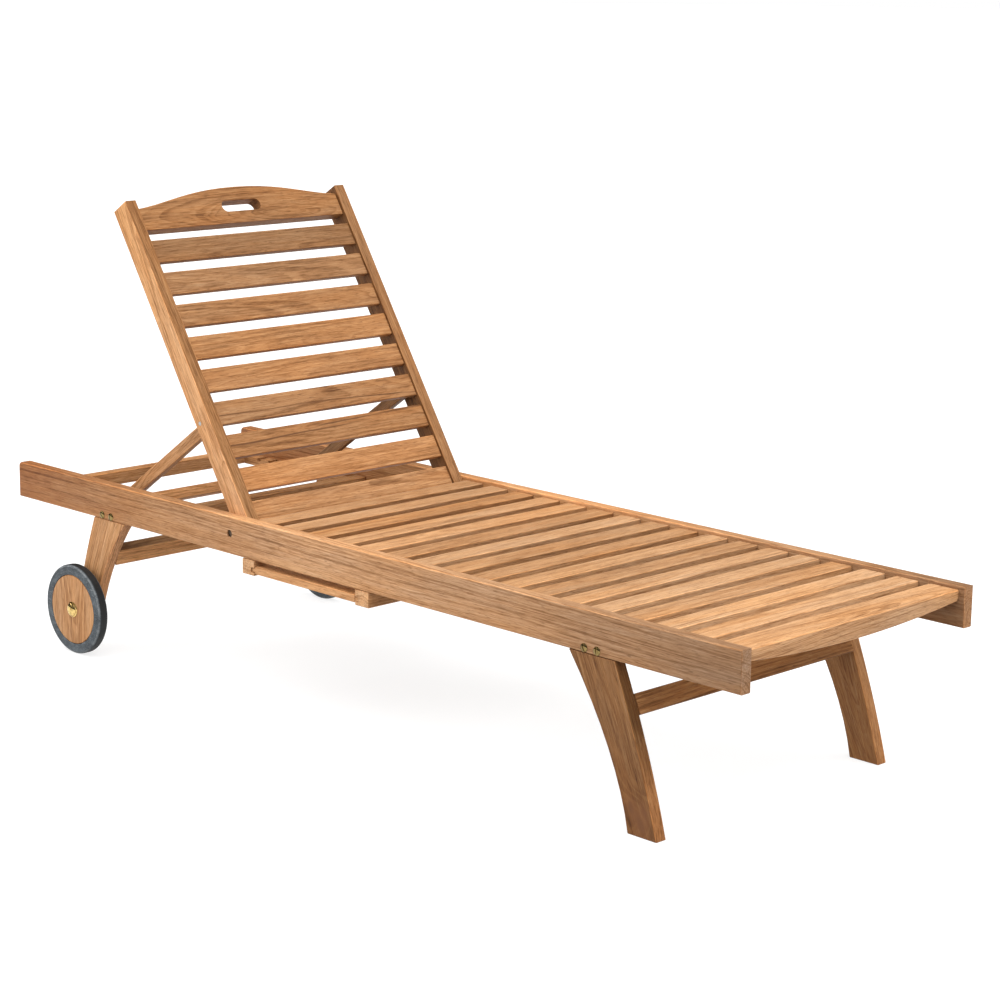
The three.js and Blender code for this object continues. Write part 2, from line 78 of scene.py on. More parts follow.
class Tree:
    """Builds one material's nodes. Each method returns an output socket."""

    def __init__(self, name):
        self.material = bpy.data.materials.new(name)
        self.material.use_nodes = True
        self.nodes = self.material.node_tree.nodes
        self.links = self.material.node_tree.links
        self.shader = self.nodes["Principled BSDF"]

    def feed(self, socket, value):
        if isinstance(value, bpy.types.NodeSocket):
            self.links.new(value, socket)
        else:
            socket.default_value = value

    def add(self, kind, inputs=(), **settings):
        node = self.nodes.new(kind)
        for key, value in settings.items():
            setattr(node, key, value)
        for key, value in dict(inputs).items():
            self.feed(node.inputs[key], value)
        return node

    def math(self, operation, a, b=0.0, c=0.0):
        return self.add("ShaderNodeMath", {0: a, 1: b, 2: c}, operation=operation).outputs[0]

    def scaled(self, vector, factors):
        node = self.add("ShaderNodeVectorMath", {0: vector, 1: factors}, operation="MULTIPLY")
        return node.outputs[0]

    def noise(self, vector, factors, detail=2.0, roughness=0.5, distortion=0.0):
        inputs = {
            "Vector": self.scaled(vector, factors), "Scale": 1.0, "Detail": detail,
            "Roughness": roughness, "Distortion": distortion,
        }
        return self.add("ShaderNodeTexNoise", inputs)

    def line_noise(self, value, detail=2.0, roughness=0.5):
        inputs = {"W": value, "Scale": 1.0, "Detail": detail, "Roughness": roughness}
        return self.add("ShaderNodeTexNoise", inputs, noise_dimensions="1D").outputs[0]

    def stretch(self, value, low, high, to_low=0.0, to_high=1.0):
        inputs = {"Value": value, "From Min": low, "From Max": high, "To Min": to_low, "To Max": to_high}
        return self.add("ShaderNodeMapRange", inputs, interpolation_type="SMOOTHSTEP").outputs[0]

    def ramp(self, value, stops):
        node = self.add("ShaderNodeValToRGB", {0: value})
        while len(node.color_ramp.elements) < len(stops):
            node.color_ramp.elements.new(0.5)
        for element, (position, color) in zip(node.color_ramp.elements, stops):
            element.position = position
            element.color = (*color, 1)
        return node.outputs[0]

    def mix(self, factor, a, b, blend="MIX"):
        node = self.add("ShaderNodeMix", data_type="RGBA", blend_type=blend)
        for index, value in ((0, factor), (6, a), (7, b)):
            if isinstance(value, tuple):
                value = (*value, 1)
            self.feed(node.inputs[index], value)
        return node.outputs[2]

    def facing(self, coords, towards):
        """How squarely the surface faces that direction of the model, from -1 to 1."""
        inputs = {0: coords.outputs["Normal"], 1: towards}
        return self.add("ShaderNodeVectorMath", inputs, operation="DOT_PRODUCT").outputs["Value"]

    def bump(self, height, distance, strength=1.0):
        inputs = {"Height": height, "Distance": distance, "Strength": strength}
        return self.add("ShaderNodeBump", inputs).outputs[0]


# Five colours from the darkest streak to the palest wood, and how far along the shade each one comes.
SHADES = (0.0, 0.27, 0.5, 0.74, 1.0)
RICH_TEAK = (
    (0.105, 0.036, 0.010), (0.250, 0.104, 0.033), (0.385, 0.172, 0.061), (0.490, 0.242, 0.096),
    (0.620, 0.345, 0.160),
)
PALE_TEAK = (
    (0.130, 0.052, 0.019), (0.295, 0.144, 0.060), (0.430, 0.234, 0.112), (0.520, 0.303, 0.157),
    (0.630, 0.395, 0.228),
)
BRIGHTEST = 0.95
CRACK_COLOR = (0.10, 0.040, 0.016)
KNOT_COLOR = (0.085, 0.034, 0.014)
KNOT_HALO = (0.19, 0.078, 0.030)
DRIER = (0.92, 0.99, 1.12)
RUDDIER = (1.06, 0.93, 0.74)
DARK_END_ARRIS = (0.35, 0.28, 0.24)
PAINTED_ARRIS_HIGHLIGHT = (1.38, 1.32, 1.22)

MIDDLE_SHADE = 0.52
STREAK_WEIGHT, CLOUD_WEIGHT, FIBRE_WEIGHT, FLAME_WEIGHT = 0.66, 0.28, 1.0, 0.30
LATE_WOOD_WEIGHT, LATE_WOOD_MEAN = 0.25, 0.075
RINGS_PER_METRE = (150, 215)
PITH_BEND, PITH_WOBBLE = 0.032, 0.0045
CRACK_TAPER = 0.05


def teak_stops(tone, pale):
    """Colour stops for the wood's shade; pale runs from fresh oil, 0, to dry wood, 1."""
    stops = []
    for place, rich, dry in zip(SHADES, RICH_TEAK, PALE_TEAK):
        color = Vector(rich).lerp(Vector(dry), pale) * tone
        stops.append((place, tuple(min(value, BRIGHTEST) for value in color)))
    return stops


def teak(name, along, across, centre, seed, tone=1.0, pale=0.5, figure=1.0, rings=1.0, pith=None, cracks=(),
         knots=(), along_tones=(), end_tone=(0.72, 0.68, 0.66), faces=()):
    """Oiled teak: growth rings about a pith line, streaks, fibres, pores and end grain.

    along is the grain's direction and across the board's wide direction. pith is where the tree's middle
    ran, beside and behind the board, and how it drifts and dives along it. rings sets how dark the late
    wood is. cracks are dark streaks and knots dark eyes, by their places in the board's own frame.
    along_tones shades the board from end to end, end_tone its end grain, and faces only the sides that
    look each way given, as painted light where a tone is above 1 and painted shade where below.
    """
    dice = random.Random(seed)
    t = Tree(name)
    through = along.cross(across)
    turn = Matrix((along, across, through)).transposed().to_euler()
    coords = t.add("ShaderNodeTexCoord")
    place = t.add("ShaderNodeMapping", {
        "Vector": coords.outputs["Object"], "Location": centre, "Rotation": turn,
    }, vector_type="TEXTURE").outputs[0]
    shift = Vector((dice.uniform(5, 95), dice.uniform(5, 95), dice.uniform(5, 95)))
    own = t.add("ShaderNodeVectorMath", {0: place, 1: shift}).outputs[0]

    # The grain swings aside round each knot.
    eyes = []
    for x, y, size in knots:
        reach = t.add("ShaderNodeVectorMath", {0: place, 1: (-x, -y, 0.0)}).outputs[0]
        reach = t.scaled(reach, (0.55, 1.0, 0.0))
        gap = t.add("ShaderNodeVectorMath", {0: reach}, operation="LENGTH").outputs["Value"]
        eyes.append((t.math("MULTIPLY", t.stretch(gap, 0.0, size * 4, 1.0, 0.0), size), gap, size))

    # Growth rings: distance from a bent pith line.
    bend = t.noise(own, (1.5, 8.0, 8.0), detail=2.0).outputs["Color"]
    bend = t.add("ShaderNodeVectorMath", {0: bend, 1: (-0.5, -0.5, -0.5)}).outputs[0]
    wobble = t.noise(own, (9.0, 50.0, 50.0), detail=3.0).outputs["Color"]
    wobble = t.add("ShaderNodeVectorMath", {0: wobble, 1: (-0.5, -0.5, -0.5)}).outputs[0]
    bent = t.add("ShaderNodeVectorMath", {
        0: bend, 1: (0.0, PITH_BEND * figure, PITH_BEND * figure), 2: place,
    }, operation="MULTIPLY_ADD").outputs[0]
    bent = t.add("ShaderNodeVectorMath", {
        0: wobble, 1: (0.0, PITH_WOBBLE * figure, PITH_WOBBLE * figure), 2: bent,
    }, operation="MULTIPLY_ADD").outputs[0]
    axes = t.add("ShaderNodeSeparateXYZ", {0: bent})
    if pith is None:
        pith = (
            dice.uniform(-0.03, 0.03), dice.uniform(0.02, 0.05) * dice.choice((-1, 1)),
            dice.uniform(-0.03, 0.03), dice.uniform(-0.09, 0.09),
        )
    aside, deep, drift, dive = pith
    away_y = t.math("MULTIPLY_ADD", axes.outputs["X"], drift, t.math("SUBTRACT", axes.outputs["Y"], aside))
    away_z = t.math("MULTIPLY_ADD", axes.outputs["X"], dive, t.math("SUBTRACT", axes.outputs["Z"], deep))
    radius = t.math("SQRT", t.math("MULTIPLY_ADD", away_y, away_y, t.math("MULTIPLY", away_z, away_z)))
    for swelling, _, _ in eyes:
        radius = t.math("ADD", radius, swelling)
    years = t.math("MULTIPLY_ADD", radius, dice.uniform(*RINGS_PER_METRE), dice.uniform(0, 400))
    years = t.math("MULTIPLY_ADD", t.line_noise(years, detail=1.0), 1.7, years)
    turns = t.math("FRACT", years)
    late = t.math("MULTIPLY", t.stretch(turns, 0.25, 0.86), t.stretch(turns, 0.9, 1.0, 1.0, 0.0))
    weight = t.stretch(t.line_noise(t.math("MULTIPLY", years, 0.6), detail=1.0), 0.32, 0.66, 0.25, 1.0)
    late = t.math("MULTIPLY", late, weight)

    streak = t.noise(own, (6.0, 225.0, 225.0), detail=3.0, roughness=0.62).outputs[0]
    fibre = t.noise(own, (26.0, 520.0, 520.0), detail=2.0, roughness=0.65).outputs[0]
    cloud = t.noise(own, (5.5, 17.0, 17.0), detail=4.0, roughness=0.6, distortion=0.5).outputs[0]
    flame = t.noise(own, (3.2, 70.0, 70.0), detail=2.0, roughness=0.55).outputs[0]
    pores = t.stretch(t.noise(own, (60.0, 900.0, 900.0), detail=1.0).outputs[0], 0.60, 0.70)

    shade = MIDDLE_SHADE
    weights = (STREAK_WEIGHT, CLOUD_WEIGHT, FIBRE_WEIGHT, FLAME_WEIGHT)
    for figuring, weight in zip((streak, cloud, fibre, flame), weights):
        shade = t.math("MULTIPLY_ADD", t.math("SUBTRACT", figuring, 0.5), weight, shade)
    lifted = t.math("ADD", shade, LATE_WOOD_MEAN * rings)
    shade = t.math("MULTIPLY_ADD", late, -LATE_WOOD_WEIGHT * rings, lifted)
    stops = teak_stops(tone, pale)
    base = t.ramp(shade, stops)

    # Patches of the board are drier and greyer, others more orange.
    dry = t.stretch(t.noise(own, (7.0, 60.0, 60.0), detail=3.0, roughness=0.6).outputs[0], 0.40, 0.64)
    base = t.mix(t.math("MULTIPLY", dry, 0.6), base, DRIER, blend="MULTIPLY")
    ruddy = t.stretch(t.noise(own, (2.0, 11.0, 11.0), detail=2.0).outputs[0], 0.42, 0.68)
    base = t.mix(t.math("MULTIPLY", ruddy, 0.55), base, RUDDIER, blend="MULTIPLY")
    base = t.mix(t.math("MULTIPLY", pores, 0.5), base, stops[0][1])

    def from_end_to_end(tones):
        start, reach = tones[0][0], tones[-1][0] - tones[0][0]
        progress = t.math("MULTIPLY_ADD", axes.outputs["X"], 1 / reach, -start / reach)
        progress = t.math("MULTIPLY_ADD", t.math("SUBTRACT", cloud, 0.5), 0.2, progress)
        return t.ramp(progress, [((at - start) / reach, color) for at, color in tones])

    if along_tones:
        base = t.mix(1.0, base, from_end_to_end(along_tones), blend="MULTIPLY")
    # Painted light and shade: the sides that look each given way are lightened or darkened for how light
    # falls on them.
    for towards, tones in faces:
        side_on = t.stretch(t.facing(coords, towards), 0.55, 0.85)
        base = t.mix(side_on, base, from_end_to_end(tones), blend="MULTIPLY")
    for at, start, stop in cracks:
        away = t.math("ABSOLUTE", t.math("SUBTRACT", away_y, at - aside))
        dark = t.math("MULTIPLY", t.stretch(away, 0.0004, 0.0028, 1.0, 0.0), t.stretch(streak, 0.30, 0.55))
        inside = t.math("MULTIPLY", t.stretch(axes.outputs["X"], start, start + CRACK_TAPER),
                        t.stretch(axes.outputs["X"], stop - CRACK_TAPER, stop, 1.0, 0.0))
        base = t.mix(t.math("MULTIPLY", t.math("MULTIPLY", dark, inside), 0.85), base, CRACK_COLOR)
    for _, gap, size in eyes:
        ragged = t.math("MULTIPLY_ADD", t.math("SUBTRACT", cloud, 0.5), size * 1.5, gap)
        base = t.mix(t.stretch(ragged, size * 0.35, size, 0.85, 0.0), base, KNOT_COLOR)
        base = t.mix(t.stretch(ragged, size * 0.6, size * 2.2, 0.6, 0.0), base, KNOT_HALO)

    # End grain is duller and drinks more oil, by end_tone; an end_tone above 1 makes the ends paler
    # instead.
    square_on = t.math("ABSOLUTE", t.facing(coords, along))
    end = t.stretch(square_on, 0.7, 0.95)
    base = t.mix(end, base, end_tone, blend="MULTIPLY")
    # A thin dark line is drawn along the arrises round each end.
    arris = t.math("MULTIPLY", t.stretch(square_on, 0.15, 0.4), t.stretch(square_on, 0.8, 0.98, 1.0, 0.0))
    base = t.mix(t.math("MULTIPLY", arris, 0.6), base, DARK_END_ARRIS, blend="MULTIPLY")

    # Painted highlight: the long arrises are drawn paler, as if they caught the light.
    flat_on = t.math("ABSOLUTE", t.facing(coords, through))
    arris_highlight = t.math("MULTIPLY", t.stretch(flat_on, 0.08, 0.35), t.stretch(flat_on, 0.90, 0.995, 1.0, 0.0))
    arris_highlight = t.math("MULTIPLY", arris_highlight, t.stretch(streak, 0.30, 0.55, 0.3, 1.0))
    base = t.mix(arris_highlight, base, PAINTED_ARRIS_HIGHLIGHT, blend="MULTIPLY")

    t.feed(t.shader.inputs["Base Color"], base)
    rough = t.math("MULTIPLY_ADD", streak, 0.18, t.math("MULTIPLY_ADD", pores, 0.12, 0.42))
    t.feed(t.shader.inputs["Roughness"], t.math("MULTIPLY_ADD", end, 0.15, rough))
    t.feed(t.shader.inputs["Specular IOR Level"], 0.16)
    relief = t.math("MULTIPLY_ADD", late, 0.3, t.math("MULTIPLY", fibre, 0.8))
    relief = t.math("MULTIPLY_ADD", pores, -0.7, relief)
    t.feed(t.shader.inputs["Normal"], t.bump(relief, 0.00035, 0.5))
    return t.material


def brass(name, tone):
    """Brass with smudges and fine turning scratches; tone below 1 darkens its colour all over."""
    t = Tree(name)
    coords = t.add("ShaderNodeTexCoord").outputs["Object"]
    smudge = t.noise(coords, (90.0, 90.0, 90.0), detail=4.0, roughness=0.6).outputs[0]
    scratch = t.noise(coords, (2600.0, 2600.0, 260.0), detail=2.0).outputs[0]
    stops = [(0.30, (0.34, 0.22, 0.075)), (0.52, (0.70, 0.50, 0.19)), (0.80, (0.86, 0.66, 0.28))]
    toned = [(at, tuple(Vector(color) * tone)) for at, color in stops]
    t.feed(t.shader.inputs["Base Color"], t.ramp(smudge, toned))
    t.feed(t.shader.inputs["Metallic"], 1.0)
    rough = t.math("MULTIPLY_ADD", smudge, 0.16, t.math("MULTIPLY", scratch, 0.06))
    t.feed(t.shader.inputs["Roughness"], rough)
    t.feed(t.shader.inputs["Normal"], t.bump(scratch, 0.00002, 0.4))
    return t.material


def steel(name, dark, light):
    """Metal drawn along Y, between two greys."""
    t = Tree(name)
    coords = t.add("ShaderNodeTexCoord").outputs["Object"]
    grain = t.noise(coords, (900.0, 60.0, 900.0), detail=3.0).outputs[0]
    t.feed(t.shader.inputs["Base Color"], t.ramp(grain, [(0.2, dark), (0.8, light)]))
    t.feed(t.shader.inputs["Metallic"], 1.0)
    t.feed(t.shader.inputs["Roughness"], t.math("MULTIPLY_ADD", grain, 0.25, 0.22))
    return t.material


def rubber():
    """Grey rubber, chalky and scratched on its side walls and darker on the tread."""
    t = Tree("grey_rubber")
    coords = t.add("ShaderNodeTexCoord")
    place = coords.outputs["Object"]
    cloud = t.noise(place, (55.0, 55.0, 55.0), detail=5.0, roughness=0.72).outputs[0]
    speck = t.noise(place, (700.0, 700.0, 700.0), detail=2.0).outputs[0]
    scratch = t.noise(place, (90.0, 90.0, 620.0), detail=3.0, roughness=0.6, distortion=1.2).outputs[0]
    shade = t.math("MULTIPLY_ADD", t.math("SUBTRACT", speck, 0.5), 0.30, cloud)
    base = t.ramp(shade, [
        (0.30, (0.028, 0.034, 0.039)), (0.52, (0.062, 0.074, 0.084)), (0.72, (0.150, 0.170, 0.185)),
    ])
    base = t.mix(t.stretch(scratch, 0.56, 0.70, 0.0, 0.6), base, (0.26, 0.28, 0.29))
    square_on = t.math("ABSOLUTE", t.facing(coords, Y))
    tread = t.stretch(square_on, 0.15, 0.6, 1.0, 0.0)
    base = t.mix(t.math("MULTIPLY", tread, 0.9), base, (0.010, 0.010, 0.010))
    outer, inner = t.stretch(square_on, 0.45, 0.70), t.stretch(square_on, 0.86, 0.985, 1.0, 0.0)
    scuffed = t.math("MULTIPLY", outer, inner)
    scuffed = t.math("MULTIPLY", scuffed, t.stretch(cloud, 0.38, 0.58, 0.10, 0.5))
    base = t.mix(scuffed, base, (0.27, 0.285, 0.29))
    t.feed(t.shader.inputs["Base Color"], base)
    t.feed(t.shader.inputs["Roughness"], t.stretch(cloud, 0.3, 0.7, 0.5, 0.75))
    t.feed(t.shader.inputs["Specular IOR Level"], 0.35)
    t.feed(t.shader.inputs["Normal"], t.bump(t.math("MULTIPLY_ADD", scratch, 0.6, speck), 0.0003, 0.5))
    return t.material


# ---------------------------------------------------------------- geometry


def body_of(node_name):
    return nodes[node_name]["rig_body"]


def dressed(piece, node_name, material):
    """piece stands for the CAD node: it rides where the node rides and takes the material."""
    bpy.context.scene.collection.objects.link(piece)
    piece.data.materials.clear()
    piece.data.materials.append(material)
    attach(piece, body_of(node_name))
    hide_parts(node_name)
    return piece


def timber(node_name, material, ease=0.0012):
    """The CAD solid as a finished board: every arris eased, flats kept flat."""
    mesh = bpy.data.meshes.new(node_name + "_wood")
    work = bmesh.new()
    work.from_mesh(nodes[node_name].data)
    bmesh.ops.remove_doubles(work, verts=work.verts, dist=1e-6)
    bmesh.ops.dissolve_degenerate(work, edges=work.edges, dist=1e-6)
    for face in work.faces:
        face.smooth = True
    work.to_mesh(mesh)
    work.free()
    piece = bpy.data.objects.new(mesh.name, mesh)
    bevel = piece.modifiers.new("arris", "BEVEL")
    bevel.width = ease
    bevel.segments = 2
    bevel.limit_method = "ANGLE"
    bevel.angle_limit = math.radians(50)
    bevel.harden_normals = False
    even = piece.modifiers.new("flats", "WEIGHTED_NORMAL")
    even.keep_sharp = False
    even.weight = 100
    return dressed(piece, node_name, material)


def turned(name, profile, steps=96):
    """A lathe about Y from (radius, y) pairs, closed on itself or on the axis."""
    work = bmesh.new()
    verts = [work.verts.new((radius, y, 0)) for radius, y in profile]
    edges = [work.edges.new(pair) for pair in zip(verts, verts[1:])]
    bmesh.ops.spin(work, geom=verts + edges, cent=(0, 0, 0), axis=(0, 1, 0),
                   angle=math.tau, steps=steps, use_merge=True)
    bmesh.ops.remove_doubles(work, verts=work.verts, dist=1e-6)
    bmesh.ops.recalc_face_normals(work, faces=work.faces)
    for face in work.faces:
        face.smooth = True
    mesh = bpy.data.meshes.new(name)
    work.to_mesh(mesh)
    work.free()
    mesh.set_sharp_from_angle(angle=math.radians(40))
    return mesh


def quarter(cx, cy, radius, start, end, steps=5):
    """Points of an arc in (radius, y), with angles in degrees."""
    angles = [math.radians(start + (end - start) * i / steps) for i in range(steps + 1)]
    return [(cx + radius * math.cos(a), cy + radius * math.sin(a)) for a in angles]


# ---------------------------------------------------------------- the wood

RECLINE = 57.26
UP_THE_BACK = slanted(180 - RECLINE)
OUT_OF_THE_BACK = slanted(90 - RECLINE)
ALONG_THE_PROP = slanted(34.85)
FRONT_LEG = slanted(-68)
REAR_LEG = slanted(-112)


def middle(node_name):
    low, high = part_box(node_name)
    return (low + high) / 2


def board(node_name, along, across, seed, **look):
    material = teak("teak_" + node_name, along, across, middle(node_name), seed, **look)
    return timber(node_name, material)


RAIL_TONES = (
    (-0.98, (0.72, 0.57, 0.47)), (-0.55, (0.90, 0.81, 0.72)), (-0.1, (1.19, 1.19, 1.22)),
    (0.45, (0.97, 0.97, 1.0)), (0.98, (0.61, 0.61, 0.65)),
)
# The rails' end_tone above 1 is painted light on their end faces.
board("right_side_rail", X, Z, 11, pale=0.8, rings=1.1, pith=(-0.055, 0.050, 0.018, 0.0),
      along_tones=RAIL_TONES, end_tone=(1.15, 1.2, 1.3))
board("left_side_rail", X, Z, 12, pale=0.6, along_tones=RAIL_TONES, end_tone=(1.4, 1.35, 1.3))

# Painted shade on the seat slats' foot-facing sides in the gaps: darkest at the head end, none at the foot.
SLAT_SIDE_SHADE_AT_HEAD = Vector((0.62, 0.55, 0.48))
SLAT_SIDE_SHADE_AT_FOOT = Vector((1, 1, 1))
SEAT_TONES = (
    0.90, 0.96, 0.90, 1.00, 1.07, 0.92, 1.00, 0.88, 0.92, 0.98, 0.88, 1.00, 1.02, 0.99, 1.12, 1.10,
)
for i, tone in enumerate(SEAT_TONES):
    side_shade = tuple(SLAT_SIDE_SHADE_AT_HEAD.lerp(SLAT_SIDE_SHADE_AT_FOOT, i / (len(SEAT_TONES) - 1)))
    board(f"seat_slat_{i + 1:02d}", Y, X, 100 + i, tone=tone,
          pale=0.6 + 0.03 * i + 0.25 * math.sin(2.3 * i), rings=0.7,
          faces=((X, ((-0.3, side_shade), (0.3, side_shade))),))

# Each back slat's tone is partly its own colour and partly painted light: the brightest, the eighth, stands
# for light bounced up off the seat.
BACK_TONES = (0.63, 0.76, 0.80, 0.92, 0.86, 0.76, 0.80, 1.02, 0.90)
BACK_CRACKS = {5: ((-0.012, -0.3, 0.3),), 6: ((0.006, -0.3, 0.12), (0.015, -0.05, 0.3))}
for i, tone in enumerate(BACK_TONES):
    board(f"back_slat_{i + 1:02d}", Y, UP_THE_BACK, 200 + i, tone=tone,
          pale=0.18 + 0.18 * math.sin(1.7 * i), rings=0.9, cracks=BACK_CRACKS.get(i, ()))
board("crest_rail", Y, UP_THE_BACK, 221, tone=0.76, pale=0.0, pith=(-0.02, 0.030, 0.03, 0.11),
      figure=1.4, rings=1.0)

# Painted light and shade on the stiles: the near stile's outer side lightened and its front darkened, the
# far stile's inner side darkened where the slats shade it.
STILE_OUTSIDE_PAINTED_LIGHT = ((-0.45, (1.25, 1.40, 1.75)), (0.0, (1.48, 1.56, 1.70)), (0.45, (1.62, 1.54, 1.30)))
STILE_FRONT_PAINTED_SHADE = ((-0.45, (0.70, 0.70, 0.66)), (0.45, (0.70, 0.61, 0.47)))
STILE_INSIDE_PAINTED_SHADE = ((-0.45, (0.50, 0.46, 0.40)), (0.45, (0.60, 0.54, 0.46)))
board("right_back_stile", UP_THE_BACK, OUT_OF_THE_BACK, 231, pale=0.3,
      faces=((-Y, STILE_OUTSIDE_PAINTED_LIGHT), (OUT_OF_THE_BACK, STILE_FRONT_PAINTED_SHADE)))
board("left_back_stile", UP_THE_BACK, OUT_OF_THE_BACK, 232, tone=0.74, pale=0.05,
      faces=((-Y, STILE_INSIDE_PAINTED_SHADE),))
board("foot_board", Y, X, 241, tone=1.1, pale=0.9, pith=(0.02, -0.045, 0.0, 0.05))
for i, name in enumerate(("head_cross_rail", "mid_cross_rail")):
    board(name, Y, X, 251 + i, pale=0.3)
for i, name in enumerate(("head_tray_runner", "foot_tray_runner")):
    board(name, Y, X, 253 + i, tone=1.05, pale=0.6, end_tone=(1.3, 1.4, 1.55))
board("front_stretcher", Y, Z, 261, tone=0.57, pale=0.1)
# Painted shade on the rear stretcher's top, which the seat shades.
STRETCHER_TOP_PAINTED_SHADE = ((-0.3, (0.30, 0.32, 0.33)), (0.3, (0.40, 0.40, 0.40)))
board("rear_stretcher", Y, Z, 262, tone=1.5, pale=0.35, faces=((slanted(68), STRETCHER_TOP_PAINTED_SHADE),))
FRONT_LEG_TONES = ((-0.2, (1.0, 1.0, 1.0)), (0.2, (0.70, 0.64, 0.56)))
# Painted light and shade on the front legs' foot-facing sides: the near leg's darkened under the rail and
# lightened near the floor, the far leg's lightened towards the floor.
FRONT_LEG_SIDE_LIGHT_AND_SHADE = {
    "right": (
        (-0.12, (0.74, 0.68, 0.58)), (0.0, (0.58, 0.54, 0.44)), (0.06, (1.05, 0.98, 0.88)),
        (0.12, (1.9, 1.9, 1.95)),
    ),
    "left": ((-0.12, (1.0, 1.0, 1.0)), (0.14, (1.3, 1.3, 1.3))),
}
# Painted light: the rear legs' foot-facing sides are lightened.
REAR_LEG_SIDE_PAINTED_LIGHT = ((-0.1, (1.58, 1.56, 1.68)), (0.1, (1.40, 1.36, 1.44)))
FRONT_LEG_KNOTS = {
    "right": ((0.128, -0.002, 0.009), (0.140, 0.0245, 0.008), (0.159, 0.010, 0.010)),
    "left": (),
}
for i, side in enumerate(("right", "left")):
    board(f"{side}_notched_rack", X, Z, 271 + i, pale=0.3)
    # The near front leg is toned 0.60 and the far one 1.0: painted light on the far leg, which the seat
    # shades.
    board(f"{side}_front_leg", FRONT_LEG, FRONT_LEG.cross(Y), 281 + i, tone=0.60 + 0.4 * i,
          pale=0.2 * i, along_tones=FRONT_LEG_TONES, knots=FRONT_LEG_KNOTS[side],
          faces=((slanted(22), FRONT_LEG_SIDE_LIGHT_AND_SHADE[side]),))
    board(f"{side}_rear_leg", REAR_LEG, REAR_LEG.cross(Y), 291 + i, tone=1.12, pale=0.5,
          faces=((slanted(-22), REAR_LEG_SIDE_PAINTED_LIGHT),))
    # The near prop arm is toned 1.15 and the far one 0.55: painted shade on the far arm, which the slats
    # shade.
    board(f"{side}_prop_arm", ALONG_THE_PROP, ALONG_THE_PROP.cross(Y), 301 + i,
          tone=1.15 - 0.6 * i, pale=0.3)
board("prop_bar", Y, Z, 311, pale=0.3)
board("side_tray", X, Y, 321, tone=1.3, pale=0.5)

# ---------------------------------------------------------------- wheels

disc_low, disc_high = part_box("right_wheel_disc")
HUB = (disc_low + disc_high) / 2
HALF = (disc_high.y - disc_low.y) / 2
RIM = (disc_high.x - disc_low.x) / 2
tyre_low, tyre_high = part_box("right_tyre")
TREAD = (tyre_high.x - tyre_low.x) / 2
BORE = 0.0064

BRASS = brass("polished_brass", 1.0)
# The leg bolts' brass is toned to 0.38: partly darker metal, partly painted shade for the dark room it
# reflects.
DARKENED_BRASS = brass("dull_brass", 0.38)
STEEL = steel("zinc_plated_steel", (0.34, 0.33, 0.31), (0.58, 0.57, 0.55))
# Very dark steel for the backrest pivot bolts: painted shade for the dark hole each one sits in.
SHADED_STEEL = steel("weathered_steel", (0.045, 0.030, 0.020), (0.11, 0.080, 0.055))
RUBBER = rubber()


def disc_mesh(name):
    soft = 0.0016
    face = [(RIM - soft, -HALF), *quarter(RIM - soft, soft - HALF, soft, -90, 0, 4)]
    back = [*quarter(RIM - soft, HALF - soft, soft, 0, 90, 4), (RIM - soft, HALF)]
    rings = [(BORE, -HALF), (0.03, -HALF), *face[1:], *back[:-1], (0.03, HALF), (BORE, HALF), (BORE, -HALF)]
    return turned(name, rings)


def tyre_mesh(name):
    """Solid rubber: a flat band on each side, a shallow groove beside it, and round shoulders."""
    inner = RIM + 0.0003
    shoulder = 0.0065
    groove = TREAD - shoulder - 0.0012
    near = [
        (inner, 0.0012 - HALF), (inner + 0.0010, -HALF), (groove - 0.0014, -HALF),
        (groove - 0.0004, 0.0006 - HALF), (groove + 0.0006, 0.0006 - HALF),
        *quarter(TREAD - shoulder, shoulder - HALF, shoulder, -84, 0, 8),
    ]
    far = [(radius, -y) for radius, y in reversed(near)]
    return turned(name, [*near, *far, near[0]], steps=128)


for side, sign in (("right", 1), ("left", -1)):
    at = Vector((HUB.x, sign * HUB.y, HUB.z))
    material = teak(f"teak_{side}_wheel_disc", Z, X, at, 401 + sign, tone=1.12, pale=0.6, figure=1.2,
                    pith=(0.004, 0.05, 0.0, 0.06))
    disc = bpy.data.objects.new(f"{side}_wheel_disc_wood", disc_mesh(f"{side}_wheel_disc_wood"))
    disc.data.transform(Matrix.Translation(at))
    dressed(disc, f"{side}_wheel_disc", material)
    tyre = bpy.data.objects.new(f"{side}_tyre_rubber", tyre_mesh(f"{side}_tyre_rubber"))
    tyre.data.transform(Matrix.Translation(at))
    dressed(tyre, f"{side}_tyre", RUBBER)

# ---------------------------------------------------------------- metal

def block(low, high, soft=0.0):
    """A box between two corners, its edges rounded by soft."""
    work = bmesh.new()
    bmesh.ops.create_cube(work, size=1)
    low, high = Vector(low), Vector(high)
    for vert in work.verts:
        vert.co = [(a + b) / 2 + c * (b - a) for a, b, c in zip(low, high, vert.co)]
    if soft:
        bmesh.ops.bevel(work, geom=work.edges[:], offset=soft, segments=3, profile=0.5, affect="EDGES")
    mesh = bpy.data.meshes.new("block")
    work.to_mesh(mesh)
    work.free()
    return mesh


def nut(radius, y0, y1):
    """A six-sided nut about Y with its corners turned off."""
    work = bmesh.new()
    bmesh.ops.create_cone(work, cap_ends=True, segments=6, radius1=radius, radius2=radius, depth=y1 - y0)
    bmesh.ops.bevel(work, geom=work.edges[:], offset=0.0004, segments=2, profile=0.5, affect="EDGES")
    mesh = bpy.data.meshes.new("nut")
    work.to_mesh(mesh)
    work.free()
    mesh.transform(Matrix.Translation((0, (y0 + y1) / 2, 0)) @ Matrix.Rotation(math.radians(90), 4, "X"))
    return mesh


